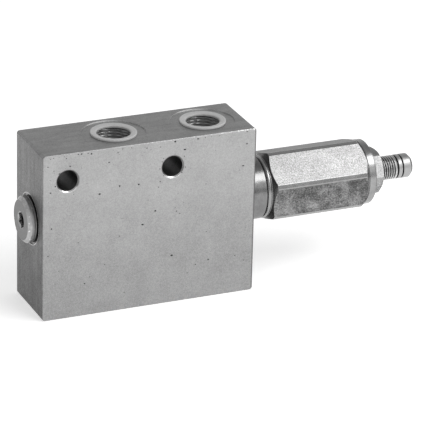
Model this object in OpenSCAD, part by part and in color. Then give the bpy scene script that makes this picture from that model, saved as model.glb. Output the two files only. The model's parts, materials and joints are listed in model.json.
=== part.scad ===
// Adjustable relief cartridge valve in a ported steel block.
// Millimetres. The origin is the centre of the block's base, +X runs along the cartridge towards
// the adjusting screw, +Y towards the block's back face and +Z up, towards the ports.

/* [Block] */
// Length of the block along the cartridge axis
block_l = 90; // [90:1:110]
// Thickness of the block, from its front face to its back face
block_w = 30; // [30:1:40]
// Height of the block
block_h = 70; // [68:1:80]
// Height of the cartridge axis above the base
axis_z = 38.2; // [34:0.1:40]
// Chamfer along the edges of the block's front and back faces
block_edge = 0.3; // [0.2:0.1:1.2]
// Chamfer along the four edges that run from the front face to the back face
block_corner = 0.6; // [0.3:0.1:1.2]

/* [Mounting holes] */
// Radius of the two through holes
hole_r = 4.25; // [3.25:0.25:4.75]
// Position of the left hole, from the block's centre
hole_left_x = -34.7; // [-36:0.1:-32]
// Distance between the two holes
hole_spacing = 44; // [42:1:46]
// Depth of the holes' axes below the top face
hole_drop = 11.5; // [9:0.5:12]

/* [Ports] */
// Position of the left port, from the block's centre
port_left_x = -10; // [-11:0.5:-9]
// Distance between the two ports
port_spacing = 38; // [36:0.5:39]
// Radius of a port's thread crests (G3/8)
port_r = 7.475; // [6.6:0.005:7.5]
// Depth of a port's threaded bore
port_depth = 14.5; // [12:0.5:16]
// Radius of the drilling that joins a port to the cavity
port_drill_r = 4.5; // [3:0.5:5]
// Radius of the spotface around a port
spotface_r = 13; // [12:0.5:14]
// Depth of the spotface around a port
spotface_depth = 0.4; // [0.3:0.1:1]

/* [Thread protectors] */
// Outer radius of a protector's flange
protector_r = 9.3; // [9:0.1:10]
// Inner radius of a protector
protector_bore_r = 7.1; // [6.9:0.05:7.2]
// Height of a protector's flange above its spotface
protector_h = 0.9; // [0.8:0.1:2]
// Depth of the lip that locates a protector
protector_lip = 0.4; // [0.3:0.1:0.6]

/* [Blanking plug] */
// Radius of the plug's collar
plug_collar_r = 9.4; // [9.2:0.1:9.8]
// Radius of the plug's thread (G1/4)
plug_thread_r = 6.5; // [6.3:0.05:6.5]
// Width across the flats of the plug's hexagon socket
plug_socket_af = 6; // [5:0.5:8]
// Thickness of the bonded washer
washer_t = 1.8; // [1.2:0.1:1.8]

/* [Cartridge] */
// Radius of the cartridge's collar
collar_r = 13; // [12.8:0.1:13.4]
// Width of the collar
collar_w = 6.6; // [6:0.1:8]
// Radius of the cartridge's thread (M22)
cartridge_thread_r = 11; // [10.6:0.1:11]
// Radius of the cartridge's nose
nose_r = 8; // [7.8:0.1:8]
// Radius of the seat's bore
seat_bore_r = 3.5; // [3:0.1:3.8]

/* [Spring] */
// Diameter of the spring's wire
wire_d = 3; // [2:0.1:3]
// Mean radius of the spring
spring_r = 6.8; // [6.7:0.05:6.9]
// Number of turns
spring_turns = 6.5; // [5.5:0.5:6.5]

/* [Spring housing] */
// Width across the flats of the housing's hexagon
housing_af = 27; // [26.5:0.5:28]
// Radius that the hexagon's corners are turned to
housing_corner_r = 15; // [14.8:0.1:15.5]
// Angle of the hexagon's first corner
housing_turn = 13; // [0:0.5:60]
// Radius of the ring at each end of the hexagon
housing_end_r = 13.4; // [13:0.1:13.6]

/* [Adjuster] */
// Radius of the adjusting screw (M10x1)
screw_r = 5; // [4.5:0.1:5]
// Width across the flats of the screw's hexagon socket
screw_socket_af = 5; // [4:0.5:5]
// Width across the flats of the lock nut
nut_af = 17; // [16:0.5:19]
// Thickness of the lock nut
nut_t = 5; // [4:0.5:6]
// Angle of the lock nut's first corner
nut_turn = 30; // [0:1:60]

/* [Hidden] */
$fn = 96;

// How far a cutting shape runs past the face it cuts
past = 1;
// Radial clearance between threads and the bores that hold them, which are drawn as plain cylinders
thread_gap = 0.1;
// Radial clearance of a sliding or turning fit
running_gap = 0.05;
// Gap between two faces that meet
face_gap = 0.02;

// Stations along the cartridge axis, inside the block
face = block_l / 2;
nose_x = face - 43;
groove_x = nose_x + 4;
groove_w = 6;
seat_x = nose_x + 12;
seat_w = 5;
cross_x = nose_x + 20;
guide_x = nose_x + 25;
guide_w = 13;
land_x = face - 12;
thread_x = face - 9;
undercut_x = face - 2.4;
annulus_x = face - 28;
chamber_x = port_left_x - 6;

// Radii inside the block and the cartridge
nose_bore_r = nose_r + 0.1;
chamber_r = 7;
annulus_r = 9.6;
land_r = 9.4;
undercut_r = cartridge_thread_r - 0.4;
collar_seal_r = 0.75;
mouth_r = undercut_r + 2 * collar_seal_r + 2 * running_gap;
guide_r = 6.4;
guide_bore_r = guide_r + running_gap;
seat_r = 6.2;
inlet_r = 4.5;
groove_r = 6.2;
nose_seal_r = (nose_bore_r - groove_r) / 2 - 0.07;
backup_w = 1.4;
cross_r = 2.5;
cross_count = 6;

// Stations along the cartridge axis, outside the block
collar_x = face + collar_w;
housing_x = collar_x + 0.5;
spigot_x = collar_x + 8;
housing_ring_x = housing_x + 1.9;
housing_cone_x = housing_ring_x + 1.6;
hex_end_x = face + 50.1;
neck_x = face + 51.6;
neck_w = 0.4;
neck_r = 13;
housing_end_x = face + 55.1;
wall_x = face + 49.2;
spigot_r = 11.5;
spring_bore_r = 10;
counterbore_r = 9.2;
counterbore_x = face - 1;
housing_seal_x = spigot_x - 5;
housing_seal_groove_r = 10.4;
housing_seal_r = 0.55;

// Poppet, ball and spring plates
seat_edge_x = seat_x + seat_w - 0.6;
cone_slope = 0.6;
tip_r = 2;
tip_x = seat_edge_x - (seat_bore_r - face_gap - tip_r) / cone_slope;
poppet_head_r = 5;
stem_r = 4;
stem_end_x = face + 1;
ball_r = 2.5;
ball_pocket = 2;
ball_seat = ball_r * sqrt(2) + face_gap;
ball_x = stem_end_x - ball_pocket + ball_seat;
plate_x = face + 3.6;
plate_end_x = face + 7;
plate_r = 8.6;
plate_spigot_r = spring_r - wire_d / 2 - 0.4;
plate_spigot_w = 3;
piston_x = face + 37;
piston_end_x = piston_x + 6;
piston_r = spring_bore_r - running_gap;
piston_groove_x = piston_x + 1.6;
piston_groove_w = 2.8;
piston_groove_r = 8.2;
piston_seal_r = (spring_bore_r - piston_groove_r) / 2 - 0.04;
piston_backup_w = 0.8;

// Adjusting screw and lock nut
screw_nose_x = piston_end_x + 0.1;
screw_shoulder_x = piston_end_x + 2.8;
screw_shoulder_r = 6.5;
thread_end_x = face + 68.5;
notch_r = 4.4;
land_start_x = face + 69.3;
land_end_x = face + 70.9;
tip_start_x = face + 71.5;
tip_groove_r = 4.2;
screw_end_x = face + 75.8;
screw_chamfer = 1.2;
screw_socket_depth = 5;
nut_x = housing_end_x + 0.5;
nut_corner_r = 9.6;
nut_back_r = 9;
nut_seal_r = 7.6;

// Ports, plug and holes
port_top = block_h - spotface_depth;
port_floor = block_h - port_depth;
lip_r = protector_r - 1.4;
drill_point = tan(31);
plug_spotface_r = 10.4;
plug_spotface_depth = 1;
plug_seat_x = -face + plug_spotface_depth;
plug_flange_x = plug_seat_x - washer_t;
plug_front_x = -face - 3.7;
plug_end_x = -face + 12;
plug_bore_end_x = -face + 14;
plug_chamfer = 1;
plug_socket_depth = 5.5;
washer_r = plug_collar_r - 0.1;
washer_bore_r = 7.7;
hole_z = block_h - hole_drop;
hole_chamfer = 0.5;

// Centre line of the spring: the station of the wire along the axis after t turns. The first and
// last turns are closed.
spring_x = plate_end_x + face_gap + wire_d / 2;
spring_end_x = piston_x - face_gap - wire_d / 2;
closed_pitch = wire_d + 0.1;
open_pitch = (spring_end_x - spring_x - 2 * closed_pitch) / (spring_turns - 2);
wire_sides = 8;
rings_per_turn = 18;
function wire_x(t) =
    spring_x
    + closed_pitch * min(t, 1)
    + open_pitch * max(0, min(t, spring_turns - 1) - 1)
    + closed_pitch * max(0, t - spring_turns + 1);

// Puts a shape whose own +Z is the cartridge axis in its place
module on_axis() {
    translate([0, 0, axis_z])
        rotate([0, 90, 0])
            children();
}

// A solid turned about the cartridge axis, from [station, radius] pairs
module turned(stations) {
    last = len(stations) - 1;
    on_axis()
        rotate_extrude()
            polygon(concat(
                [[0, stations[0][0]]],
                [for (s = stations) [s[1], s[0]]],
                [[0, stations[last][0]]]
            ));
}

// A ring turned about the cartridge axis, from the section's own [station, radius] corners
module turned_ring(section) {
    on_axis()
        rotate_extrude()
            polygon([for (s = section) [s[1], s[0]]]);
}

// A ring of square section between two stations and two radii
module square_ring(x0, x1, r0, r1) {
    turned_ring([[x0, r0], [x0, r1], [x1, r1], [x1, r0]]);
}

// A rubber ring of round section
module oring(x, r, section_r) {
    on_axis()
        translate([0, 0, x])
            rotate_extrude()
                translate([r, 0])
                    circle(section_r, $fn = 32);
}

// A hexagonal bar along the cartridge axis, by its width across the flats
module hex_bar(x0, x1, af, turn) {
    on_axis()
        translate([0, 0, x0])
            rotate(turn)
                cylinder(r = af / sqrt(3), h = x1 - x0, $fn = 6);
}

// A box with all twelve edges chamfered, standing on its base's centre. The four edges that run
// along Y have their own chamfer.
module chamfered_box(size, c, c_y) {
    intersection() {
        translate([0, 0, size[2] / 2])
            rotate([90, 0, 0])
                linear_extrude(size[1], center = true)
                    chamfered_square(size[0], size[2], c_y);
        translate([0, 0, size[2] / 2])
            rotate([90, 0, 90])
                linear_extrude(size[0], center = true)
                    chamfered_square(size[1], size[2], c);
        linear_extrude(size[2])
            chamfered_square(size[0], size[1], c);
    }
}

// A rectangle with its corners cut at 45 degrees
module chamfered_square(w, h, c) {
    x = w / 2;
    y = h / 2;
    polygon([
        [c - x, -y], [x - c, -y], [x, c - y], [x, y - c],
        [x - c, y], [c - x, y], [-x, y - c], [-x, c - y]
    ]);
}

// A threaded port with its spotface, its protector's recess and the drilling below it
module port_bore(x) {
    translate([x, 0, 0])
        rotate_extrude()
            polygon([
                [0, axis_z],
                [port_drill_r, axis_z],
                [port_drill_r, port_floor - (port_r - port_drill_r) * drill_point],
                [port_r, port_floor],
                [port_r, port_top - protector_lip - 0.1],
                [lip_r + running_gap, port_top - protector_lip - 0.1],
                [lip_r + running_gap, port_top],
                [spotface_r, port_top],
                [spotface_r, block_h + past],
                [0, block_h + past]
            ]);
}

// A mounting hole through the block's thickness, chamfered at both faces
module mounting_hole(x) {
    translate([x, 0, hole_z])
        rotate([90, 0, 0])
            rotate_extrude()
                polygon([
                    [0, -block_w],
                    [hole_r + hole_chamfer, -block_w],
                    [hole_r + hole_chamfer, -block_w / 2],
                    [hole_r, hole_chamfer - block_w / 2],
                    [hole_r, block_w / 2 - hole_chamfer],
                    [hole_r + hole_chamfer, block_w / 2],
                    [hole_r + hole_chamfer, block_w],
                    [0, block_w]
                ]);
}

// The stepped bore that takes the cartridge, and the chamber that feeds its nose
module cartridge_cavity() {
    turned([
        [chamber_x, chamber_r],
        [nose_x, chamber_r],
        [nose_x, nose_bore_r],
        [annulus_x, nose_bore_r],
        [annulus_x, annulus_r],
        [thread_x, annulus_r],
        [thread_x, cartridge_thread_r + thread_gap],
        [undercut_x, cartridge_thread_r + thread_gap],
        [undercut_x, mouth_r],
        [face + past, mouth_r]
    ]);
}

// The bore that the blanking plug closes, with the drilling to the chamber
module plug_bore() {
    turned([
        [-face - past, plug_spotface_r],
        [plug_seat_x, plug_spotface_r],
        [plug_seat_x, plug_thread_r + thread_gap],
        [plug_bore_end_x, plug_thread_r + thread_gap],
        [plug_bore_end_x, hole_r],
        [chamber_x + past, hole_r]
    ]);
}

module valve_block() {
    color("silver")
        difference() {
            chamfered_box([block_l, block_w, block_h], block_edge, block_corner);
            for (i = [0, 1]) {
                mounting_hole(hole_left_x + i * hole_spacing);
                port_bore(port_left_x + i * port_spacing);
            }
            cartridge_cavity();
            plug_bore();
        }
}

module blanking_plug() {
    color("gray")
        difference() {
            turned([
                [plug_front_x, plug_collar_r - plug_chamfer],
                [plug_front_x + plug_chamfer, plug_collar_r],
                [plug_flange_x, plug_collar_r],
                [plug_flange_x, plug_thread_r],
                [plug_end_x - 1, plug_thread_r],
                [plug_end_x, plug_thread_r - 1]
            ]);
            hex_bar(plug_front_x - past, plug_front_x + plug_socket_depth, plug_socket_af, 0);
            turned([
                [plug_front_x - past, plug_socket_af / 2 + past + 0.6],
                [plug_front_x + 0.6, plug_socket_af / 2]
            ]);
        }
}

module plug_washer() {
    color("lightgray")
        square_ring(plug_flange_x, plug_seat_x, washer_bore_r, washer_r);
}

module plug_washer_seal() {
    color("black")
        turned_ring([
            [plug_flange_x + 0.1, washer_bore_r - face_gap],
            [plug_seat_x - 0.1, washer_bore_r - face_gap],
            [plug_seat_x - 0.4, plug_thread_r + running_gap],
            [plug_flange_x + 0.4, plug_thread_r + running_gap]
        ]);
}

// A plastic ring that guards the mouth of a port's thread
module port_protector(x) {
    color("gainsboro")
        translate([x, 0, port_top])
            rotate_extrude()
                polygon([
                    [protector_bore_r, -protector_lip],
                    [lip_r, -protector_lip],
                    [lip_r, 0],
                    [protector_r, 0],
                    [protector_r, protector_h - 0.3],
                    [protector_r - 0.3, protector_h],
                    [protector_bore_r + 0.7, protector_h],
                    [protector_bore_r, protector_h - 0.7]
                ]);
}

module port_protector_left() {
    port_protector(port_left_x);
}

module port_protector_right() {
    port_protector(port_left_x + port_spacing);
}

module cartridge_sleeve() {
    color("darkgray")
        difference() {
            turned([
                [nose_x, nose_r - 0.8],
                [nose_x + 0.8, nose_r],
                [groove_x, nose_r],
                [groove_x, groove_r],
                [groove_x + groove_w, groove_r],
                [groove_x + groove_w, nose_r],
                [land_x, nose_r],
                [land_x, land_r],
                [thread_x, land_r],
                [thread_x, cartridge_thread_r],
                [undercut_x, cartridge_thread_r],
                [undercut_x, undercut_r],
                [face, undercut_r],
                [face, collar_r],
                [collar_x - 0.3, collar_r],
                [collar_x, collar_r - 0.3],
                [collar_x, spigot_r],
                [housing_seal_x, spigot_r],
                [housing_seal_x, housing_seal_groove_r],
                [housing_seal_x + 1.4, housing_seal_groove_r],
                [housing_seal_x + 1.4, spigot_r],
                [spigot_x, spigot_r]
            ]);
            turned([
                [nose_x - past, inlet_r],
                [seat_x, inlet_r],
                [seat_x, seat_r + face_gap],
                [seat_x + seat_w, seat_r + face_gap],
                [seat_x + seat_w, guide_bore_r],
                [counterbore_x, guide_bore_r],
                [counterbore_x, counterbore_r],
                [spigot_x + past, counterbore_r]
            ]);
            for (i = [0 : cross_count - 1])
                translate([cross_x, 0, axis_z])
                    rotate([(i + 0.5) * 360 / cross_count, 0, 0])
                        translate([0, 0, guide_bore_r - past])
                            cylinder(r = cross_r, h = nose_r - guide_bore_r + 2 * past);
        }
}

module collar_oring() {
    color("dimgray")
        oring(face - collar_seal_r - 0.3, undercut_r + running_gap + collar_seal_r, collar_seal_r);
}

module nose_oring() {
    color("dimgray")
        oring(groove_x + groove_w / 2, (nose_bore_r + groove_r) / 2, nose_seal_r);
}

module nose_backup_rings() {
    color("ivory")
        for (x = [groove_x + 0.3, groove_x + groove_w - 0.3 - backup_w])
            square_ring(x, x + backup_w, groove_r + running_gap, nose_bore_r - 0.15);
}

module valve_seat() {
    color("slategray")
        turned_ring([
            [seat_x + face_gap, seat_bore_r],
            [seat_x + face_gap, seat_r],
            [seat_x + seat_w - 0.3, seat_r],
            [seat_x + seat_w, seat_r - 0.3],
            [seat_x + seat_w, seat_bore_r + 1.1],
            [seat_edge_x, seat_bore_r]
        ]);
}

module poppet() {
    color("lightslategray")
        difference() {
            turned([
                [tip_x, tip_r],
                [tip_x + (poppet_head_r - tip_r) / cone_slope, poppet_head_r],
                [guide_x - 3, poppet_head_r],
                [guide_x, guide_r],
                [guide_x + guide_w, guide_r],
                [guide_x + guide_w, stem_r],
                [stem_end_x, stem_r]
            ]);
            turned([
                [stem_end_x - ball_pocket, 0],
                [stem_end_x + past, ball_pocket + past]
            ]);
            for (turn = [0 : 90 : 270])
                translate([guide_x - past - 2, 0, axis_z])
                    rotate([turn, 0, 0])
                        translate([0, stem_r + 1.2, 0])
                            rotate([0, 90, 0])
                                cylinder(r = 0.8, h = guide_w + 2 * past + 2);
        }
}

module thrust_ball() {
    color("white")
        translate([ball_x, 0, axis_z])
            sphere(ball_r);
}

module front_spring_plate() {
    color("darkgray")
        difference() {
            turned([
                [plate_x, plate_r - 0.5],
                [plate_x + 0.5, plate_r],
                [plate_end_x, plate_r],
                [plate_end_x, plate_spigot_r],
                [plate_end_x + plate_spigot_w - 0.6, plate_spigot_r],
                [plate_end_x + plate_spigot_w, plate_spigot_r - 0.6]
            ]);
            turned([
                [plate_x - past, ball_x + ball_seat - plate_x + past],
                [ball_x + ball_seat, 0]
            ]);
        }
}

module main_spring() {
    ring_count = spring_turns * rings_per_turn + 1;
    points = [
        for (i = [0 : ring_count - 1])
            let (t = i / rings_per_turn)
            for (k = [0 : wire_sides - 1])
                let (
                    a = k * 360 / wire_sides,
                    r = spring_r + cos(a) * wire_d / 2,
                    x = wire_x(t) + sin(a) * wire_d / 2
                )
                [r * cos(360 * t), r * sin(360 * t), x]
    ];
    sides = [
        for (i = [0 : ring_count - 2], k = [0 : wire_sides - 1])
            let (
                here = i * wire_sides,
                next = (k + 1) % wire_sides
            )
            [here + k, here + wire_sides + k, here + wire_sides + next, here + next]
    ];
    start_cap = [for (k = [0 : wire_sides - 1]) k];
    end_cap = [for (k = [wire_sides - 1 : -1 : 0]) (ring_count - 1) * wire_sides + k];
    color("dimgray")
        on_axis()
            polyhedron(points, concat(sides, [start_cap, end_cap]), convexity = 10);
}

module rear_spring_plate() {
    color("darkgray")
        turned([
            [piston_x - plate_spigot_w, plate_spigot_r - 0.6],
            [piston_x - plate_spigot_w + 0.6, plate_spigot_r],
            [piston_x, plate_spigot_r],
            [piston_x, piston_r],
            [piston_groove_x, piston_r],
            [piston_groove_x, piston_groove_r],
            [piston_groove_x + piston_groove_w, piston_groove_r],
            [piston_groove_x + piston_groove_w, piston_r],
            [piston_end_x, piston_r]
        ]);
}

module piston_oring() {
    color("dimgray")
        oring(
            piston_groove_x + piston_seal_r + face_gap,
            (spring_bore_r + piston_groove_r) / 2,
            piston_seal_r
        );
}

module piston_backup_ring() {
    end = piston_groove_x + piston_groove_w - face_gap;
    color("ivory")
        square_ring(end - piston_backup_w, end, piston_groove_r + running_gap, piston_r);
}

module spring_housing() {
    color("silver")
        difference() {
            union() {
                turned([
                    [housing_x, collar_r - 0.5],
                    [housing_x + 0.5, collar_r],
                    [housing_ring_x, collar_r],
                    [housing_cone_x, collar_r]
                ]);
                intersection() {
                    hex_bar(housing_ring_x, neck_x, housing_af, housing_turn);
                    turned([
                        [housing_ring_x, collar_r],
                        [housing_cone_x, housing_corner_r],
                        [hex_end_x, housing_corner_r],
                        [neck_x, housing_end_r]
                    ]);
                }
                turned([
                    [neck_x - past, neck_r],
                    [neck_x + neck_w, neck_r],
                    [neck_x + neck_w, housing_end_r],
                    [housing_end_x - 0.3, housing_end_r],
                    [housing_end_x, housing_end_r - 0.3]
                ]);
            }
            turned([
                [housing_x - past, spigot_r + thread_gap],
                [spigot_x + past, spigot_r + thread_gap],
                [spigot_x + past, spring_bore_r],
                [wall_x, spring_bore_r],
                [wall_x, screw_r + running_gap],
                [housing_end_x + past, screw_r + running_gap]
            ]);
        }
}

module housing_oring() {
    color("dimgray")
        oring(
            housing_seal_x + 0.7,
            (spigot_r + thread_gap + housing_seal_groove_r) / 2,
            housing_seal_r
        );
}

module adjusting_screw() {
    color("gray")
        difference() {
            turned([
                [screw_nose_x, screw_shoulder_r - 3],
                [screw_nose_x + 1, screw_shoulder_r],
                [screw_shoulder_x, screw_shoulder_r],
                [screw_shoulder_x, screw_r],
                [thread_end_x, screw_r],
                [thread_end_x, notch_r],
                [land_start_x, notch_r],
                [land_start_x, screw_r],
                [land_end_x, screw_r],
                [land_end_x, tip_groove_r],
                [tip_start_x, tip_groove_r],
                [tip_start_x, screw_r],
                [screw_end_x - screw_chamfer, screw_r],
                [screw_end_x, screw_r - screw_chamfer]
            ]);
            hex_bar(screw_end_x - screw_socket_depth, screw_end_x + past, screw_socket_af, 0);
        }
}

module lock_nut() {
    color("lightgray")
        difference() {
            intersection() {
                hex_bar(nut_x, nut_x + nut_t, nut_af, nut_turn);
                turned([
                    [nut_x, nut_back_r],
                    [nut_x + nut_corner_r - nut_back_r, nut_corner_r],
                    [nut_x + nut_t - 0.7, nut_corner_r],
                    [nut_x + nut_t, nut_af / 2 - 0.2]
                ]);
            }
            square_ring(nut_x - past, nut_x + nut_t + past, 0, screw_r + running_gap);
        }
}

module lock_nut_seal() {
    color("black")
        square_ring(
            housing_end_x + face_gap,
            nut_x - face_gap,
            screw_r + running_gap,
            nut_seal_r
        );
}

valve_block();
blanking_plug();
plug_washer();
plug_washer_seal();
port_protector_left();
port_protector_right();
cartridge_sleeve();
collar_oring();
nose_oring();
nose_backup_rings();
valve_seat();
poppet();
thrust_ball();
front_spring_plate();
main_spring();
rear_spring_plate();
piston_oring();
piston_backup_ring();
spring_housing();
housing_oring();
adjusting_screw();
lock_nut();
lock_nut_seal();
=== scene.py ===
"""Looks for an adjustable relief cartridge valve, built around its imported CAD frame.

Lengths are metres in the row frame: +X along the cartridge, +Y to the back face, +Z up through the ports.
Profiles of turned pieces are in millimetres, as (distance along the axis, radius) pairs.
"""

import json
import math
import random

import bmesh
import bpy
from mathutils import Matrix, Vector


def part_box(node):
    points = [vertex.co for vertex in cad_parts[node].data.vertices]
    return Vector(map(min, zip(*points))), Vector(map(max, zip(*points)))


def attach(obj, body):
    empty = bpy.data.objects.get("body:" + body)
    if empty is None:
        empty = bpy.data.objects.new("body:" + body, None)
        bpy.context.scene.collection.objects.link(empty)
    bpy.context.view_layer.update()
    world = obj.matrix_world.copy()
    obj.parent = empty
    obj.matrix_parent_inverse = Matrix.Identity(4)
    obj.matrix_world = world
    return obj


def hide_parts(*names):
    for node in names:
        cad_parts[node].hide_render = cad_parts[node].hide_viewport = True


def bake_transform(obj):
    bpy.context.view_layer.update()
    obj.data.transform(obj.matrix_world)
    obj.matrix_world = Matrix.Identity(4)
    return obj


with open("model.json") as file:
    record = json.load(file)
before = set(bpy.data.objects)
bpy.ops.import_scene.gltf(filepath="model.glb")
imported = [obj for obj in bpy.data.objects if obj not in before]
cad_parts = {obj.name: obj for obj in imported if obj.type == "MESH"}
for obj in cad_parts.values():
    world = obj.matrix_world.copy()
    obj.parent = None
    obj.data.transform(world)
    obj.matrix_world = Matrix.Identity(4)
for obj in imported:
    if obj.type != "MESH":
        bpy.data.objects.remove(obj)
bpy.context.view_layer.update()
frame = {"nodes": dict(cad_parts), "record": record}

MM = 0.001
SMOOTH_ANGLE = math.radians(28)

BLOCK_LOW, BLOCK_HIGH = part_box("valve_block")
HOUSING_LOW, HOUSING_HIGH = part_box("spring_housing")
SCREW_LOW, SCREW_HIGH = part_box("adjusting_screw")
NUT_LOW, NUT_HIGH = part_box("lock_nut")
PLUG_LOW, PLUG_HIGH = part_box("blanking_plug")
SLEEVE_LOW, SLEEVE_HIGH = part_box("cartridge_sleeve")
PISTON_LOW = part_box("rear_spring_plate")[0]
PLATE_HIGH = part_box("front_spring_plate")[1]

MOUNTS = {mount["name"]: mount for mount in frame["record"]["mounts"]}
PORT_X = [MOUNTS[name]["pos_m"][0] for name in ("port_left", "port_right")]
PORT_R = MOUNTS["port_left"]["dims"]["r_mm"]
AXIS_Z = (SCREW_LOW.z + SCREW_HIGH.z) / 2

# millimetres
PORT_SPOTFACE_R = 13.0
PLUG_SPOTFACE_R = 10.4
HOUSING_CONE_X = HOUSING_LOW.x / MM + 1.9
HOUSING_RIM_X = HOUSING_HIGH.x / MM - 0.4


# ---------------------------------------------------------------- shapes


def new_object(name, data):
    """An object in the scene from a mesh, a camera or a light."""
    made = bpy.data.objects.new(name, data)
    bpy.context.scene.collection.objects.link(made)
    return made


def object_from(name, shape):
    """A new object from a bmesh, which is freed."""
    mesh = bpy.data.meshes.new(name)
    shape.to_mesh(mesh)
    shape.free()
    return new_object(name, mesh)


def set_smooth(mesh):
    """Smooth shading, with every edge sharper than SMOOTH_ANGLE kept crisp."""
    shape = bmesh.new()
    shape.from_mesh(mesh)
    for face in shape.faces:
        face.smooth = True
    for edge in shape.edges:
        edge.smooth = len(edge.link_faces) == 2 and edge.calc_face_angle(0) < SMOOTH_ANGLE
    shape.to_mesh(mesh)
    shape.free()


def mesh_from(name, points, faces):
    """A smooth-shaded mesh with merged points and outward faces."""
    mesh = bpy.data.meshes.new(name)
    mesh.from_pydata(points, [], faces)
    shape = bmesh.new()
    shape.from_mesh(mesh)
    bmesh.ops.remove_doubles(shape, verts=shape.verts, dist=1e-7)
    bmesh.ops.recalc_face_normals(shape, faces=shape.faces)
    shape.to_mesh(mesh)
    shape.free()
    set_smooth(mesh)
    return mesh


def rounded(profile, radius, steps=4):
    """The profile with each inner corner replaced by a small curve, unless it is nearly straight."""
    out = [profile[0]]
    for before, corner, after in zip(profile, profile[1:], profile[2:]):
        b, c, a = Vector(before), Vector(corner), Vector(after)
        reach = min(radius, (b - c).length * 0.45, (a - c).length * 0.45)
        turn = (c - b).angle(a - c, 0.0)
        if reach < 1e-4 or turn < math.radians(12):
            out.append(corner)
            continue
        start = c + (b - c).normalized() * reach
        end = c + (a - c).normalized() * reach
        for i in range(steps + 1):
            t = i / steps
            out.append(tuple(start * (1 - t) ** 2 + c * 2 * t * (1 - t) + end * t**2))
    out.append(profile[-1])
    return out


def on_x(x, r, angle):
    """A point at distance x along the cartridge axis."""
    return (x * MM, r * math.cos(angle) * MM, AXIS_Z + r * math.sin(angle) * MM)


def on_z(centre_x):
    """Like on_x, for an upright axis through (centre_x, 0)."""
    return lambda z, r, angle: (centre_x + r * math.cos(angle) * MM, r * math.sin(angle) * MM, z * MM)


def turned(name, profile, place=on_x, edge=0.15, segments=144):
    """A solid of revolution with its edges rounded.

    A profile that starts and ends on the axis is solid, any other is a closed ring.
    """
    ring = profile[0][1] > 0
    corners = rounded(profile + profile[:2] if ring else profile, edge)
    if ring:
        corners = corners[1:-1]
    points, faces = [], []
    for x, r in corners:
        points += [place(x, r, 2 * math.pi * j / segments) for j in range(segments)]
    rows = len(corners)
    for i in range(rows if ring else rows - 1):
        k = (i + 1) % rows
        for j in range(segments):
            n = (j + 1) % segments
            faces.append((i * segments + j, i * segments + n, k * segments + n, k * segments + j))
    return new_object(name, mesh_from(name, points, faces))


def thread_profile(phase):
    """0 at the root and 1 at the crest of a rounded V thread, over one pitch."""
    wave = 1 - abs(2 * (phase % 1) - 1)
    return min(1, max(0, (wave - 0.12) / 0.76))


def threaded(name, root_r, crest_r, pitch, start, end, runout, place=on_x, ends=(), steps=14, segments=96):
    """A solid with a helical thread between two stations, fading out over the run-out at each end.

    ends holds the plain profiles before and after the thread, and steps is the rings in one pitch.
    """
    rows = round((end - start) / pitch * steps)
    points, faces = [], []

    def add_ring(x, radius):
        for j in range(segments):
            angle = 2 * math.pi * j / segments
            points.append(place(x, radius(angle), angle))

    for x, r in ends[0] if ends else []:
        add_ring(x, lambda angle, r=r: r)
    for i in range(rows + 1):
        x = start + (end - start) * i / rows
        fade = min(1, (x - start) / runout, (end - x) / runout)

        def radius(angle, x=x, fade=max(0, fade)):
            depth = 1 - thread_profile(x / pitch - angle / (2 * math.pi))
            return crest_r - (crest_r - root_r) * depth * fade

        add_ring(x, radius)
    for x, r in ends[1] if ends else []:
        add_ring(x, lambda angle, r=r: r)
    count = len(points) // segments
    for i in range(count - 1):
        for j in range(segments):
            n = (j + 1) % segments
            faces.append((i * segments + j, i * segments + n, (i + 1) * segments + n, (i + 1) * segments + j))
    faces.append(tuple(range(segments)))
    faces.append(tuple((count - 1) * segments + j for j in range(segments)))
    return new_object(name, mesh_from(name, points, faces))


def hexagon_bar(name, start, end, across_flats, first_corner):
    """A hexagonal bar along the cartridge axis. The corner's angle runs from +Y towards +Z."""
    r = across_flats / math.sqrt(3)
    angles = [math.radians(first_corner + 60 * i) for i in range(6)]
    points = [on_x(x, r, a) for x in (start, end) for a in angles]
    faces = [(i, (i + 1) % 6, 6 + (i + 1) % 6, 6 + i) for i in range(6)]
    faces += [(0, 1, 2, 3, 4, 5), (6, 7, 8, 9, 10, 11)]
    return new_object(name, mesh_from(name, points, faces))


def carve(piece, tool, operation="DIFFERENCE"):
    """Applies a boolean. The faces that the tool cuts keep the tool's material."""
    cut = piece.modifiers.new("cut", "BOOLEAN")
    cut.operation = operation
    cut.object = tool
    cut.solver = "EXACT"
    cut.material_mode = "TRANSFER"
    bake_modifiers(piece)
    bpy.data.objects.remove(tool)


def bake_modifiers(piece):
    """Makes the modifiers' result the piece's own mesh, without doubled points or slivers."""
    graph = bpy.context.evaluated_depsgraph_get()
    graph.update()
    mesh = bpy.data.meshes.new_from_object(piece.evaluated_get(graph), depsgraph=graph)
    piece.modifiers.clear()
    piece.data = mesh
    shape = bmesh.new()
    shape.from_mesh(mesh)
    bmesh.ops.remove_doubles(shape, verts=shape.verts, dist=2e-7)
    bmesh.ops.dissolve_degenerate(shape, edges=shape.edges, dist=1e-7)
    shape.to_mesh(mesh)
    shape.free()
    set_smooth(mesh)


def weigh_normals(piece):
    """Keeps broad flats flat in shading where they meet narrow bevels."""
    weigh = piece.modifiers.new("normals", "WEIGHTED_NORMAL")
    weigh.keep_sharp = True
    weigh.weight = 90


def soften(piece, width, angle=45):
    """Breaks the piece's sharp edges with a bevel of that width in millimetres."""
    bevel = piece.modifiers.new("edges", "BEVEL")
    bevel.width = width * MM
    bevel.segments = 2
    bevel.limit_method = "ANGLE"
    bevel.angle_limit = math.radians(angle)
    bake_modifiers(piece)


def finish_piece(piece, body, *nodes, slot=None):
    """Puts the piece on its body in place of the CAD nodes."""
    weigh_normals(piece)
    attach(piece, body)
    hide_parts(*nodes)


# ---------------------------------------------------------------- materials


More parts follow.
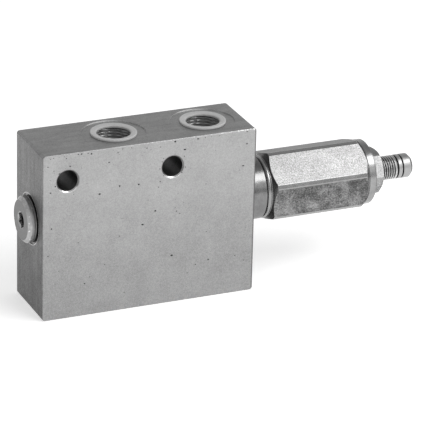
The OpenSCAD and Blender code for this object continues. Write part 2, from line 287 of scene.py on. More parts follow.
class Shader:
    """One material's node tree, in millimetres. Most methods add nodes and return their output."""

    def __init__(self, name, colour, roughness, metallic=1.0):
        self.material = bpy.data.materials.new(name)
        self.material.use_nodes = True
        self.material.diffuse_color = (colour, colour, colour, 1)
        self.tree = self.material.node_tree
        self.principled = self.tree.nodes["Principled BSDF"]
        self.set("Base Color", (colour, colour, colour, 1))
        self.set("Roughness", roughness)
        self.set("Metallic", metallic)
        coordinates = self.tree.nodes.new("ShaderNodeTexCoord")
        self.normal_out = coordinates.outputs["Normal"]
        scale = self.node("ShaderNodeVectorMath", operation="SCALE")
        self.connect(coordinates.outputs["Object"], scale.inputs[0])
        scale.inputs["Scale"].default_value = 1 / MM
        self.place = scale.outputs["Vector"]
        split = self.node("ShaderNodeSeparateXYZ")
        self.connect(self.place, split.inputs[0])
        self.x, self.y, self.z = split.outputs

    def facing(self):
        """The three parts of the surface's own direction."""
        split = self.node("ShaderNodeSeparateXYZ")
        self.connect(self.normal_out, split.inputs[0])
        return split.outputs

    def node(self, kind, **settings):
        made = self.tree.nodes.new(kind)
        for key, value in settings.items():
            setattr(made, key, value)
        return made

    def connect(self, source, target):
        if isinstance(source, (int, float, tuple)):
            target.default_value = source
        else:
            self.tree.links.new(source, target)

    def set(self, socket, value):
        self.connect(value, self.principled.inputs[socket])

    def math(self, operation, a, b=0.0):
        made = self.node("ShaderNodeMath", operation=operation)
        for socket, value in zip(made.inputs, (a, b)):
            self.connect(value, socket)
        return made.outputs[0]

    def vector(self, x, y, z):
        made = self.node("ShaderNodeCombineXYZ")
        for socket, value in zip(made.inputs, (x, y, z)):
            self.connect(value, socket)
        return made.outputs[0]

    def times(self, a, b):
        return self.math("MULTIPLY", a, b)

    def total(self, *values):
        out = values[0]
        for value in values[1:]:
            out = self.math("ADD", out, value)
        return out

    def remap(self, value, low, high, new_low=0.0, new_high=1.0):
        """A soft step from new_low to new_high, while the value goes from low to high."""
        made = self.node("ShaderNodeMapRange", interpolation_type="SMOOTHSTEP")
        for socket, v in zip(made.inputs, (value, low, high, new_low, new_high)):
            self.connect(v, socket)
        return made.outputs[0]

    def band(self, value, start, full, fade, end):
        """1 while the value is between full and fade, and 0 outside start and end."""
        return self.times(self.remap(value, start, full), self.remap(value, fade, end, 1.0, 0.0))

    def dim(self, value, mask, factor):
        """The value, multiplied by the factor where the mask is 1."""
        return self.times(value, self.remap(mask, 0.0, 1.0, 1.0, factor))

    def vary(self, noise, amount):
        """Noise moved to run about 0, over that amount."""
        return self.times(self.math("SUBTRACT", noise, 0.5), amount)

    def noise(self, size, detail=2.0, place=None, roughness=0.5, distortion=0.0):
        """Noise from 0 to 1 whose features are about size millimetres across."""
        made = self.node("ShaderNodeTexNoise")
        self.connect(place or self.place, made.inputs["Vector"])
        made.inputs["Scale"].default_value = 1 / size
        made.inputs["Detail"].default_value = detail
        made.inputs["Roughness"].default_value = roughness
        made.inputs["Distortion"].default_value = distortion
        return made.outputs["Fac"]

    def distance(self, a, b, centre_a=0.0, centre_b=0.0):
        """Distance from a point in the plane of two coordinates."""
        da = self.math("SUBTRACT", a, centre_a)
        db = self.math("SUBTRACT", b, centre_b)
        return self.math("SQRT", self.total(self.times(da, da), self.times(db, db)))

    def grey(self, value):
        """A grey colour from a value."""
        made = self.node("ShaderNodeCombineColor")
        for socket in made.inputs:
            self.connect(value, socket)
        return made.outputs[0]

    def bump(self, height, depth):
        """A bump whose height runs over depth millimetres."""
        made = self.node("ShaderNodeBump")
        made.inputs["Strength"].default_value = 1.0
        made.inputs["Distance"].default_value = depth * MM
        self.connect(height, made.inputs["Height"])
        return made.outputs[0]


def block_material():
    """Finely blasted front and back, milled ends and top, turned spotfaces and burred top edges, with painted
    highlights and painted shade.
    """
    s = Shader("block_steel", 0.45, 0.5)
    nx, ny, nz = (s.math("ABSOLUTE", out) for out in s.facing())
    blasted = s.remap(ny, 0.8, 0.95)
    ends = s.remap(nx, 0.8, 0.95)

    grain = s.noise(0.32, 3.0, roughness=0.7)
    speckle = s.noise(0.8, 2.0)
    cloud = s.noise(14.0, 3.0, distortion=0.4)
    stain = s.noise(5.0, 4.0, roughness=0.6)

    # the spotfaces: turned rings round each port, and a painted highlight on the spotface walls round each
    # port and round the plug
    top = s.remap(nz, 0.8, 0.95)
    upright = s.remap(nz, 0.3, 0.6, 1.0, 0.0)
    ring_height, wall_highlight = 0.0, 0.0
    for centre in PORT_X:
        to_port, r = s.distance(s.x, s.y, centre / MM), PORT_SPOTFACE_R
        wall_highlight = s.total(wall_highlight, s.times(s.band(to_port, r - 0.5, r - 0.2, r + 0.3, r + 0.6), upright))
        inside = s.times(top, s.remap(to_port, r + 0.4, r))
        lines = s.noise(0.45, 1.0, place=s.vector(to_port, 0.0, 0.0))
        ring_height = s.total(ring_height, s.times(inside, lines))
    to_plug, r = s.distance(s.y, s.z, 0.0, AXIS_Z / MM), PLUG_SPOTFACE_R
    left = s.remap(s.x, BLOCK_LOW.x / MM + 1.5, BLOCK_LOW.x / MM + 2.0, 1.0, 0.0)
    wall_highlight = s.total(wall_highlight, s.times(s.band(to_plug, r - 0.7, r - 0.5, r + 0.1, r + 0.3), left))

    # fine lines left by the milling cutter: upright on the ends, lengthwise on the top
    strokes = s.noise(0.7, 3.0, place=s.vector(0.0, s.y, 0.0))
    stretched = s.vector(s.times(s.x, 0.15), s.y, s.times(s.z, 0.15))
    broken = s.noise(2.2, 3.0, place=stretched)
    unblasted = s.math("SUBTRACT", 1.0, blasted)
    milled = s.times(unblasted, s.math("SUBTRACT", s.total(strokes, broken), 1.0))

    # the burr and rubbed metal along the top edges of the front and back, heavier towards the right
    ragged = s.noise(0.8, 4.0, roughness=0.75)
    to_top = s.math("SUBTRACT", BLOCK_HIGH.z / MM, s.z)
    to_side = s.math("SUBTRACT", BLOCK_HIGH.y / MM, s.math("ABSOLUTE", s.y))
    depth = s.math("MAXIMUM", to_top, to_side)
    lighter = s.total(s.remap(s.x, -40.0, 10.0, 0.45, -0.25), s.remap(s.x, 32.0, 44.0, 0.0, -0.7))
    uneven = s.total(s.times(ragged, 6.5), lighter)
    burr = s.remap(s.total(depth, uneven), 2.9, 2.3)

    # the mounting holes: painted shade in the bores, and countersinks with a painted highlight below and
    # painted shade above
    holes = MOUNTS["mounting_holes"]
    bore = holes["dims"]["hole_r_mm"]
    hole_z = holes["pos_m"][2] / MM
    rim, shade = 0.0, 1.0
    for side in (-0.5, 0.5):
        centre = holes["pos_m"][0] / MM + side * holes["dims"]["spacing_x_mm"]
        to_hole = s.distance(s.x, s.z, centre, hole_z)
        sink = s.band(to_hole, bore + 0.05, bore + 0.15, bore + 0.5, bore + 0.7)
        under = s.remap(s.z, hole_z - 0.5 * bore, hole_z - 0.85 * bore)
        rim = s.total(rim, s.times(sink, under))
        shade = s.math("SUBTRACT", shade, s.times(sink, s.remap(under, 0.0, 1.0, 0.3, 0.0)))
        shade = s.times(shade, s.remap(to_hole, bore - 0.1, bore + 0.1, 0.3, 1.0))

    # painted shade on the right-hand rounded corners, and on a strip of the front and back beside them
    right = BLOCK_HIGH.x / MM
    corner = s.times(s.band(nx, 0.25, 0.5, 0.9, 0.97), s.remap(s.x, right - 1.4, right - 1.2))
    strip = s.times(blasted, s.remap(s.x, right - 0.8, right - 0.5))
    shade = s.dim(s.dim(shade, corner, 0.15), strip, 0.55)

    # a painted highlight makes the blasted front and back lighter towards the top; the milled ends are
    # darker, and darker towards the bottom
    tone = s.total(
        0.30,
        s.times(blasted, s.remap(s.z, 5.0, 65.0, 0.055, 0.13)),
        s.times(ends, s.remap(s.z, 5.0, 65.0, -0.17, -0.12)),
        s.times(top, 0.02),
        s.times(wall_highlight, 0.5),
        s.vary(cloud, 0.10),
        s.vary(stain, 0.12),
        s.vary(grain, 0.40),
        s.vary(speckle, 0.14),
        s.times(milled, 0.13),
        s.times(burr, 0.22),
        s.times(rim, 0.40),
    )
    s.set("Base Color", s.grey(s.times(tone, shade)))
    rough = s.total(
        0.44,
        s.times(blasted, 0.14),
        s.vary(stain, 0.14),
        s.times(burr, -0.15),
        s.times(rim, -0.2),
    )
    s.set("Roughness", rough)
    height = s.total(
        s.times(blasted, grain),
        s.times(milled, 0.6),
        s.times(ring_height, 1.2),
        s.times(speckle, 0.5),
        s.times(burr, s.noise(0.6, 3.0)),
    )
    s.set("Normal", s.bump(height, 0.03))
    return s.material


def turned_material(name, tone, roughness, depth=0.012, dark=()):
    """Metal with the fine circular lines of a lathe tool, and bands (from, to, factor) along x darkened as
    painted shade.
    """
    s = Shader(name, tone, roughness)
    fine = s.noise(0.25, 2.0, place=s.vector(s.x, 0.0, 0.0))
    coarse = s.noise(1.25, 1.0, place=s.vector(s.x, 0.0, 0.0))
    cloud = s.noise(3.0, 4.0, roughness=0.6)
    speck = s.noise(0.5, 2.0)
    value = s.total(tone, s.vary(fine, 0.12), s.vary(cloud, 0.16), s.vary(speck, 0.06))
    # painted shade over each band
    for start, end, factor in dark:
        value = s.dim(value, s.band(s.x, start, start + 0.1, end - 0.1, end), factor)
    s.set("Base Color", s.grey(value))
    s.set("Roughness", s.total(roughness, s.vary(cloud, 0.15)))
    s.set("Normal", s.bump(s.total(fine, s.times(coarse, 0.6)), depth))
    return s.material


def plated_material(name, tone, roughness, grain=0.4, spots=0.3, sparkle=1.5):
    """Dull zinc over drawn bar: sparkling grain and dark spots. Painted light makes faces that rise sparkle
    more and carry fewer spots, and painted shade darkens faces that point straight up.
    """
    s = Shader(name, tone, roughness)
    rise = s.facing()[2]
    upward = s.remap(rise, 0.1, 0.6)
    fine = s.noise(grain, 1.0, roughness=0.5)
    patch = s.noise(grain * 1.6, 3.0, roughness=0.65)
    wide = s.noise(7.0, 3.0, distortion=0.6)
    gathered = s.total(s.times(patch, 0.6), s.times(wide, 0.5))
    # dark spots, with painted shade: the spots are fainter on faces that rise, so the lower faces are darker
    spots_and_shade = s.dim(s.remap(gathered, 0.40, 0.75, 1.0, 0.0), upward, 0.3)
    # painted highlight: the grain sparkles more on faces that rise
    strength = s.remap(upward, 0.0, 1.0, 0.5 * tone * sparkle, tone * sparkle)
    # painted shade on faces that point straight up
    top_shade = s.remap(rise, 0.9, 0.96, 1.0, 0.5)
    clear = s.math("SUBTRACT", 1.0, s.times(spots_and_shade, spots))
    s.set("Base Color", s.grey(s.times(s.total(tone, s.vary(fine, strength)), s.times(top_shade, clear))))
    s.set("Roughness", s.total(roughness, s.times(spots_and_shade, 0.08)))
    s.set("Normal", s.bump(s.total(fine, s.times(patch, 0.5)), 0.03))
    return s.material


def thread_material(name, tone, dark, crests=None, plain_x=None):
    """Grimy thread: dark all over, or with painted shade that darkens it from crest to root, and more painted
    shade past its plain end.

    crests holds the radii of root and crest round the cartridge's axis.
    """
    s = Shader(name, tone, 0.35)
    grime = s.noise(0.8, 3.0)
    value = s.total(dark, s.vary(grime, 0.1))
    if crests:
        # painted shade in the roots: the thread is darker from crest to root
        crest = s.remap(s.distance(s.y, s.z, 0.0, AXIS_Z / MM), *crests)
        value = s.total(value, s.times(crest, tone - dark))
    if plain_x is not None:
        # painted shade past the thread's plain end
        value = s.times(value, s.remap(s.x, plain_x - 0.1, plain_x + 0.1, 1.0, 0.6))
    s.set("Base Color", s.grey(value))
    s.set("Roughness", s.total(0.3, s.times(grime, 0.2)))
    s.set("Normal", s.bump(s.noise(0.2, 2.0), 0.01))
    return s.material


def plug_material():
    """Turned plug: a darker flat face, and a bright chamfer and rim with a few painted glints."""
    s = Shader("plug_turned", 0.5, 0.35)
    flat_face = s.remap(s.math("ABSOLUTE", s.facing()[0]), 0.9, 0.97)
    fine = s.noise(0.3, 2.0)
    cloud = s.noise(2.0, 3.0)
    # painted glints on the chamfer and rim
    glint = s.dim(s.remap(s.noise(0.9, 1.0), 0.66, 0.74, 0.0, 0.5), flat_face, 0.0)
    value = s.total(
        0.45,
        glint,
        s.times(flat_face, -0.27),
        s.vary(fine, 0.12),
        s.vary(cloud, s.remap(flat_face, 0.0, 1.0, 0.4, 0.08)),
    )
    s.set("Base Color", s.grey(value))
    s.set("Roughness", s.total(0.42, s.vary(cloud, 0.2)))
    s.set("Normal", s.bump(s.total(fine, cloud), 0.02))
    return s.material


def socket_material():
    """Broached hexagon: bright at its mouth, and painted darker further in as painted shade."""
    s = Shader("socket_steel", 0.8, 0.3)
    front = PLUG_LOW.x / MM
    fine = s.noise(0.4, 3.0)
    # painted shade that darkens the socket further in
    lit = s.remap(s.x, front + 0.8, front + 2.6, 1.0, 0.06)
    s.set("Base Color", s.grey(s.times(s.remap(fine, 0.3, 0.7, 0.6, 1.0), lit)))
    s.set("Roughness", s.remap(fine, 0.3, 0.7, 0.25, 0.4))
    s.set("Normal", s.bump(fine, 0.02))
    return s.material


def washer_material():
    """Bright zinc rim, with painted shade where the washer sits in the block's recess."""
    s = Shader("washer_steel", 0.5, 0.3)
    fine = s.noise(0.3, 2.0)
    # painted shade where the washer sits in the block's recess
    recess_shade = s.remap(s.x, BLOCK_LOW.x / MM - 0.5, BLOCK_LOW.x / MM - 0.35)
    unshaded = s.total(0.55, s.vary(fine, 0.2))
    s.set("Base Color", s.grey(s.dim(unshaded, recess_shade, 0.05)))
    s.set("Roughness", s.remap(fine, 0.3, 0.7, 0.3, 0.4))
    s.set("Normal", s.bump(fine, 0.01))
    return s.material


def rubber_material():
    """Matt black rubber with a faint bloom."""
    s = Shader("nitrile", 0.02, 0.55, metallic=0.0)
    bloom = s.noise(1.0, 4.0)
    s.set("Base Color", s.grey(s.remap(bloom, 0.3, 0.8, 0.015, 0.04)))
    s.set("Roughness", s.remap(bloom, 0.2, 0.8, 0.45, 0.65))
    s.set("Normal", s.bump(s.noise(0.15, 2.0), 0.01))
    return s.material


def plastic_material(name, tone, roughness=0.4, ringed=False):
    """Moulded, slightly waxy plastic with flow marks and scuffs, and perhaps rings round the ports' axes."""
    s = Shader(name, tone, roughness, metallic=0.0)
    cloud = s.noise(2.5, 3.0, distortion=0.8)
    scuff = s.noise(0.5, 4.0, roughness=0.7)
    value = s.total(tone, s.vary(cloud, 0.08), s.vary(scuff, 0.06))
    if ringed:
        to_port = s.math("MINIMUM", *[s.distance(s.x, s.y, centre / MM) for centre in PORT_X])
        lines = s.noise(0.5, 2.0, place=s.vector(to_port, 0.0, 0.0))
        value = s.total(value, s.vary(lines, 0.5))
    s.set("Base Color", s.grey(value))
    s.set("Roughness", s.remap(scuff, 0.2, 0.8, roughness - 0.08, roughness + 0.12))
    s.set("Normal", s.bump(s.total(scuff, s.times(cloud, 0.6)), 0.012))
    return s.material


block_steel = block_material()
pit_steel = plated_material("pit_steel", 0.09, 0.7, spots=0.4)
port_thread = thread_material("port_thread", 0.7, 0.5)
plug_steel = plated_material("plug_steel", 0.6, 0.3, spots=0.1)
plug_turned = plug_material()
socket_steel = socket_material()
washer_steel = washer_material()
turned_steel = turned_material("turned_steel", 0.205, 0.22)
housing_flat = plated_material("housing_flat", 0.34, 0.37, grain=0.42, spots=0.78, sparkle=1.9)
# painted shade on the housing's cone beside the hexagon and on the edge of its rim
housing_shade_bands = [(HOUSING_CONE_X, HOUSING_CONE_X + 1.6, 0.6), (HOUSING_RIM_X, HOUSING_RIM_X + 0.38, 0.2)]
housing_turned = turned_material("housing_turned", 0.31, 0.24, dark=housing_shade_bands)
nut_flat = plated_material("nut_flat", 0.48, 0.38, grain=0.35, spots=0.85, sparkle=1.6)
nut_turned = turned_material("nut_turned", 0.33, 0.3)
screw_plain_x = SCREW_HIGH.x / MM - 6.9
screw_steel = thread_material("screw_steel", 0.66, 0.07, crests=(4.5, 4.95), plain_x=screw_plain_x)
hardened_steel = turned_material("hardened_steel", 0.45, 0.15, depth=0.004)
spring_steel = plated_material("spring_steel", 0.12, 0.5, spots=0.5)
nitrile = rubber_material()
ptfe = plastic_material("ptfe", 0.8, 0.35)
protector_plastic = plastic_material("protector_plastic", 0.46, 0.4, ringed=True)


# ---------------------------------------------------------------- pieces


def give(piece, *materials):
    piece.data.materials.clear()
    for material in materials:
        piece.data.materials.append(material)
    return piece


def block_piece():
    """The CAD block with real threads in its ports and the pits of a blasted face."""
    mesh = frame["nodes"]["valve_block"].data.copy()
    mesh.name = "ported_block"
    shape = bmesh.new()
    shape.from_mesh(mesh)
    bmesh.ops.remove_doubles(shape, verts=shape.verts, dist=1e-6)
    shape.to_mesh(mesh)
    shape.free()
    piece = give(new_object("ported_block", mesh), block_steel)
    carve(piece, give(rounded_block(), block_steel), "INTERSECT")
    mouth = BLOCK_HIGH.z / MM - 0.9
    floor = mouth - MOUNTS["port_left"]["dims"]["length_mm"]
    for side, centre in zip(("left", "right"), PORT_X):
        tap = threaded(
            "tap_" + side,
            root_r=PORT_R + 0.02,
            crest_r=PORT_R + 0.82,
            pitch=1.337,
            start=floor + 0.3,
            end=mouth - 0.02,
            runout=0.5,
            place=on_z(centre),
        )
        carve(piece, give(tap, port_thread))
    carve(piece, give(pit_cutter(), pit_steel))
    finish_piece(piece, "valve_body", "valve_block", slot="block_steel")


def rounded_block():
    """The block's outline, rounded at its corners and broken round the edges of its front and back."""
    shape = bmesh.new()
    bmesh.ops.create_cube(shape, size=1)
    size, middle = BLOCK_HIGH - BLOCK_LOW, (BLOCK_HIGH + BLOCK_LOW) / 2
    bmesh.ops.scale(shape, vec=size, verts=shape.verts)
    bmesh.ops.translate(shape, vec=middle, verts=shape.verts)
    across = [e for e in shape.edges if abs(e.verts[0].co.y - e.verts[1].co.y) > MM]
    bmesh.ops.bevel(shape, geom=across, offset=1.1 * MM, segments=6, profile=0.5, affect="EDGES")
    around = [
        e for e in shape.edges if abs(e.verts[0].co.y - e.verts[1].co.y) < MM and e.calc_face_angle() > 1
    ]
    bmesh.ops.bevel(shape, geom=around, offset=0.42 * MM, segments=4, profile=0.5, affect="EDGES")
    return object_from("rounded", shape)


def pit_cutter():
    """Small craters in the front face, gathered near its top edge and round its two holes.

    Craters that would meet are left out, because the boolean fails on them.
    """
    spread = random.Random(5)
    low, high = BLOCK_LOW, BLOCK_HIGH
    holes = MOUNTS["mounting_holes"]
    pits = []
    for _ in range(110):
        x = spread.uniform(low.x + 2 * MM, high.x - 2 * MM)
        pits.append((x, high.z - (0.9 + 64 * spread.random() ** 3.2) * MM))
    for side in (-1, 1):
        for _ in range(12):
            angle = spread.uniform(0, 2 * math.pi)
            away = (holes["dims"]["hole_r_mm"] + 0.7 + 3.5 * spread.random() ** 2) * MM
            x = holes["pos_m"][0] + side * holes["dims"]["spacing_x_mm"] / 2 * MM
            pits.append((x + away * math.cos(angle), holes["pos_m"][2] + away * math.sin(angle)))
    shape = bmesh.new()
    cut = []
    for x, z in pits:
        r = spread.choice((0.1, 0.12, 0.15, 0.2, 0.25, 0.38)) * MM
        if any(math.hypot(x - a, z - b) < 1.9 * (r + c) for a, b, c in cut):
            continue
        cut.append((x, z, r))
        blob = bmesh.ops.create_icosphere(shape, subdivisions=2, radius=r)
        for vert in blob["verts"]:
            vert.co *= spread.uniform(0.75, 1.15)
        squash = Matrix.Diagonal((spread.uniform(0.8, 1.6), 0.7, spread.uniform(0.7, 1.1), 1))
        move = Matrix.Translation((x, low.y - r * 0.12, z))
        bmesh.ops.transform(shape, matrix=move @ squash, verts=blob["verts"])
    return object_from("pits", shape)


def plug_piece():
    """The blanking plug: a chamfered collar with a hexagon socket, and a plain thread inside the block."""
    front, back = PLUG_LOW.x / MM, PLUG_HIGH.x / MM
    collar = (PLUG_HIGH.z - PLUG_LOW.z) / 2 / MM
    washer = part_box("plug_washer")[0].x / MM
    thread_r = 6.5
    profile = [
        (front, 0.0),
        (front, collar - 1.3),
        (front + 1.3, collar),
        (washer - 0.3, collar),
        (washer, collar - 0.35),
        (washer, thread_r),
        (back - 1, thread_r),
        (back, thread_r - 1),
        (back, 0.0),
    ]
    plug = give(turned("socket_plug", profile, edge=0.12), plug_turned)
    socket = hexagon_bar("socket", front - 1, front + 5.5, across_flats=6.0, first_corner=90)
    carve(plug, give(socket, socket_steel))
    lead = [(front - 1, 0.0), (front - 1, 4.6), (front + 0.6, 3.0), (front + 0.6, 0.0)]
    carve(plug, give(turned("lead", lead), plug_turned))
    finish_piece(plug, "valve_body", "blanking_plug", slot="plug_steel")


def sleeve_piece():
    """The cartridge's sleeve with its cross drillings. Only its collar shows outside the block."""
    start, end = SLEEVE_LOW.x / MM, SLEEVE_HIGH.x / MM
    face = BLOCK_HIGH.x / MM
    outer = (SLEEVE_HIGH.z - SLEEVE_LOW.z) / 2 / MM
    collar_end = end - 8.0
    profile = [
        (start + 0.8, 8.0),
        (start + 4, 8.0),
        (start + 4, 6.2),
        (start + 10, 6.2),
        (start + 10, 8.0),
        (face - 12, 8.0),
        (face - 12, 9.4),
        (face - 9, 9.4),
        (face - 9, 11.0),
        (face - 2.4, 11.0),
        (face - 2.4, 10.6),
        (face, 10.6),
        (face, outer - 0.45),
        (face + 0.45, outer),
        (collar_end - 0.12, outer),
        (collar_end, outer - 0.12),
        (collar_end, 11.5),
        (end, 11.5),
        (end, 9.2),
        (face - 1, 9.2),
        (face - 1, 6.45),
        (start + 17, 6.45),
        (start + 17, 6.22),
        (start + 12, 6.22),
        (start + 12, 4.5),
        (start, 4.5),
        (start, 7.2),
    ]
    sleeve = give(turned("cartridge_body", profile, edge=0.15), turned_steel)
    drill_r = 2.5 * MM
    move = Matrix.Translation(((start + 20) * MM, 0, AXIS_Z))
    for i in range(3):
        turn = Matrix.Rotation(math.pi / 6 + i * math.pi / 3, 4, "X")
        shape = bmesh.new()
        bmesh.ops.create_cone(
            shape, cap_ends=True, segments=48, radius1=drill_r, radius2=drill_r, depth=18 * MM
        )
        bmesh.ops.transform(shape, matrix=move @ turn, verts=shape.verts)
        carve(sleeve, give(object_from("cross", shape), turned_steel))
    finish_piece(sleeve, "valve_body", "cartridge_sleeve", slot="turned_steel")


def housing_piece():
    """The hollow spring housing: a ring, a hexagon with turned corners, a narrow groove and a second ring."""
    start, end = HOUSING_LOW.x / MM, HOUSING_HIGH.x / MM
    profile = [
        (start, 12.5),
        (start + 0.35, 12.85),
        (start + 0.75, 13.0),
        (start + 1.15, 13.0),
        (start + 1.55, 12.85),
        (start + 1.7, 12.6),
        (HOUSING_CONE_X, 12.6),
        (start + 3.5, 15.0),
        (end - 5.0, 15.0),
        (end - 3.5, 13.4),
        (end - 3.5, 13.0),
        (end - 3.1, 13.0),
        (end - 3.1, 13.4),
        (end - 0.3, 13.4),
        (end, 13.1),
        (end, 5.05),
        (end - 5.9, 5.05),
        (end - 5.9, 10.0),
        (start + 8.3, 10.0),
        (start + 8.3, 11.6),
        (start, 11.6),
    ]
    housing = give(turned("hexagon_housing", profile, edge=0.15), housing_turned)
    bar = give(hexagon_bar("bar", start - 1, end + 1, across_flats=27.0, first_corner=43.0), housing_flat)
    carve(housing, bar, "INTERSECT")
    soften(housing, 0.12)
    finish_piece(housing, "valve_body", "spring_housing", slot="housing_steel")


def nut_piece():
    """The lock nut: a hexagon, chamfered more at its outer end than towards the housing."""
    start, end = NUT_LOW.x / MM, NUT_HIGH.x / MM
    profile = [
        (start, 9.0),
        (start + 0.6, 9.6),
        (end - 0.7, 9.6),
        (end, 8.3),
        (end, 5.5),
        (end - 0.45, 5.05),
        (start + 0.45, 5.05),
        (start, 5.5),
    ]
    nut = give(turned("hexagon_nut", profile, edge=0.08), nut_turned)
    bar = give(hexagon_bar("bar", start - 1, end + 1, across_flats=17.0, first_corner=0.0), nut_flat)
    carve(nut, bar, "INTERSECT")
    soften(nut, 0.08)
    finish_piece(nut, "nut", "lock_nut", slot="nut_steel")


def screw_piece():
    """The adjusting screw: a shoulder inside the housing, a real thread, and a grooved land with a socket."""
    start, end = SCREW_LOW.x / MM, SCREW_HIGH.x / MM
    r = 5.0
    shoulder = start + 2.7
    thread_start, thread_end = shoulder + 1.0, end - 7.3
    head = [(start, 3.5), (start + 1.0, 6.5), (shoulder, 6.5), (shoulder, 4.95)]
    tail = rounded(
        [
            (thread_end, 4.95),
            (thread_end, 4.4),
            (end - 6.5, 4.4),
            (end - 6.5, r),
            (end - 4.9, r),
            (end - 4.9, 4.2),
            (end - 4.3, 4.2),
            (end - 4.3, r),
            (end - 1.2, r),
            (end, r - 1.2),
        ],
        0.12,
    )
    screw = threaded(
        "adjuster_screw",
        root_r=4.4,
        crest_r=4.98,
        pitch=1.0,
        start=thread_start,
        end=thread_end,
        runout=0.5,
        ends=(head, tail),
    )
    give(screw, screw_steel)
    key = hexagon_bar("key", end - 5, end + 1, across_flats=5.0, first_corner=90)
    carve(screw, give(key, plug_steel))
    finish_piece(screw, "screw", "adjusting_screw", slot="screw_steel")


def protector_pieces():
    """The plastic rings in the port mouths, each with a flange that is dished on top."""
    for side, centre in zip(("left", "right"), PORT_X):
        low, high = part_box("port_protector_" + side)
        bottom, top = low.z / MM, high.z / MM
        outer = (high.x - low.x) / 2 / MM
        seat = BLOCK_HIGH.z / MM - 0.4
        profile = [
            (bottom, 6.8),
            (bottom, outer - 1.4),
            (seat, outer - 1.4),
            (seat, outer),
            (top - 0.15, outer),
            (top, outer - 0.4),
            (top - 0.2, 7.3),
            (top - 0.5, 6.8),
        ]
        ring = turned("protector_ring_" + side, profile, place=on_z(centre), edge=0.15)
        give(ring, protector_plastic)
        finish_piece(ring, "protector_" + side, "port_protector_" + side, slot="protector_plastic")


def spring_pieces():
    """The main spring in two halves of its turns, a front one and a rear one."""
    spigot, gap = 3.0, 0.02
    first = PLATE_HIGH.x / MM - spigot + gap
    last = PISTON_LOW.x / MM + spigot - gap
    wire_r, mean_r, turns = 1.5, 6.8, 6.5
    sides, per_turn = 16, 40
    closed = 2 * wire_r + 0.1
    pitch = (last - first - 2 * wire_r - 2 * closed) / (turns - 2)

    def centre(t):
        """The wire's station along the axis after t turns. The first and last turns are closed."""
        open_turns = max(0, min(t, turns - 1) - 1)
        return first + wire_r + closed * (min(t, 1) + max(0, t - turns + 1)) + pitch * open_turns

    middle = (first + last) / 2 * MM
    halves = (
        ("front", 0, turns / 2, "poppet_group", "valve_body", first * MM, middle),
        ("rear", turns / 2, turns, "valve_body", "piston_group", middle, last * MM),
    )
    for side, t0, t1, body_a, body_b, start, end in halves:
        rings = round((t1 - t0) * per_turn)
        points, faces = [], []
        for i in range(rings + 1):
            t = t0 + (t1 - t0) * i / rings
            for k in range(sides):
                a = 2 * math.pi * k / sides
                x, r = centre(t) + wire_r * math.sin(a), mean_r + wire_r * math.cos(a)
                points.append(on_x(x, r, 2 * math.pi * t))
        for i in range(rings):
            for k in range(sides):
                n = (k + 1) % sides
                faces.append((i * sides + k, i * sides + n, (i + 1) * sides + n, (i + 1) * sides + k))
        faces.append(tuple(range(sides)))
        faces.append(tuple(rings * sides + k for k in range(sides)))
        piece = give(new_object("coil_" + side, mesh_from("coil_" + side, points, faces)), spring_steel)
        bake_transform(piece)
        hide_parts("main_spring")


def dress_cad_nodes():
    """CAD nodes that stay as they are and only take a better material."""
    looks = {
        "plug_washer": washer_steel,
        "plug_washer_seal": nitrile,
        "collar_oring": nitrile,
        "nose_oring": nitrile,
        "housing_oring": nitrile,
        "piston_oring": nitrile,
        "lock_nut_seal": nitrile,
        "nose_backup_rings": ptfe,
        "piston_backup_ring": ptfe,
        "valve_seat": hardened_steel,
        "poppet": hardened_steel,
        "thrust_ball": hardened_steel,
        "front_spring_plate": turned_steel,
        "rear_spring_plate": turned_steel,
    }
    for node, material in looks.items():
        for slot in frame["nodes"][node].material_slots:
            slot.material = material


block_piece()
plug_piece()
sleeve_piece()
housing_piece()
nut_piece()
screw_piece()
protector_pieces()
spring_pieces()
dress_cad_nodes()


# ---------------------------------------------------------------- camera


def add_camera():
    """The camera looks at the block's middle from its front left, a little above."""
    azimuth, elevation, roll = (math.radians(a) for a in (-23.62, 23.08, 1.45))
    distance, sideways, upwards = 1.2709, 0.03053, -0.00067
    back = Vector(
        (
            math.sin(azimuth) * math.cos(elevation),
            -math.cos(azimuth) * math.cos(elevation),
            math.sin(elevation),
        )
    )
    level = Vector((math.cos(azimuth), math.sin(azimuth), 0))
    upright = back.cross(level)
    right = level * math.cos(roll) + upright * math.sin(roll)
    up = upright * math.cos(roll) - level * math.sin(roll)
    middle = (BLOCK_LOW + BLOCK_HIGH) / 2
    place = middle + right * sideways + up * upwards + back * distance
    data = bpy.data.cameras.new("camera")
    data.lens = 270.2
    data.sensor_width = 36.0
    data.clip_end = 50
    camera = new_object("camera", data)
    turn = Matrix((right, up, back)).transposed().to_4x4()
    camera.matrix_world = Matrix.Translation(place) @ turn
    bpy.context.scene.camera = camera


# ---------------------------------------------------------------- stage and light


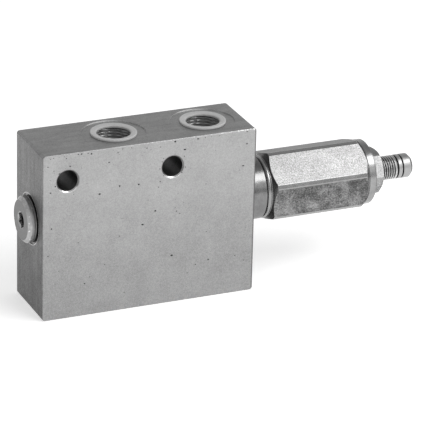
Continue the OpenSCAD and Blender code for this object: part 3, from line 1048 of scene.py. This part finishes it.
def add_floor():
    """A broad white floor that glows a little, so that it fades into a white background."""
    shape = bmesh.new()
    bmesh.ops.create_grid(shape, x_segments=1, y_segments=1, size=6)
    floor = object_from("floor", shape)
    s = Shader("floor", 0.9, 0.9, metallic=0.0)
    s.set("Base Color", s.grey(s.remap(s.noise(400.0, 2.0), 0.3, 0.7, 0.88, 0.92)))
    s.set("Emission Color", (1.0, 1.0, 1.0, 1.0))
    s.set("Emission Strength", 0.44)
    give(floor, s.material)


def add_area_light(name, direction, distance, width, height, power):
    """A soft box that faces the valve from a direction."""
    target = Vector((0.02, 0, 0.035))
    data = bpy.data.lights.new(name, "AREA")
    data.shape = "RECTANGLE"
    data.size, data.size_y = width, height
    data.energy = power
    light = new_object(name, data)
    toward = Vector(direction).normalized()
    light.location = target + toward * distance
    light.rotation_euler = toward.to_track_quat("Z", "Y").to_euler()


def add_world():
    """A pale room whose walls are brighter than its ceiling."""
    world = bpy.data.worlds.new("studio")
    world.use_nodes = True
    tree = world.node_tree
    background = tree.nodes["Background"]
    background.inputs["Color"].default_value = (1, 1, 1, 1)
    coordinates = tree.nodes.new("ShaderNodeTexCoord")
    split = tree.nodes.new("ShaderNodeSeparateXYZ")
    ramp = tree.nodes.new("ShaderNodeMapRange")
    ramp.interpolation_type = "SMOOTHSTEP"
    ramp.inputs["From Min"].default_value = 0.35
    ramp.inputs["From Max"].default_value = 0.9
    ramp.inputs["To Min"].default_value = 0.68
    ramp.inputs["To Max"].default_value = 0.40
    tree.links.new(coordinates.outputs["Generated"], split.inputs[0])
    tree.links.new(split.outputs["Z"], ramp.inputs["Value"])
    tree.links.new(ramp.outputs["Result"], background.inputs["Strength"])
    bpy.context.scene.world = world


add_camera()
add_floor()
add_area_light("key", (0.45, -0.48, 0.73), distance=0.75, width=0.70, height=0.30, power=2.9)
add_area_light("fill", (0.40, -0.80, 0.40), distance=1.4, width=1.2, height=0.5, power=0.9)
add_world()
bpy.context.scene.view_settings.view_transform = "Standard"
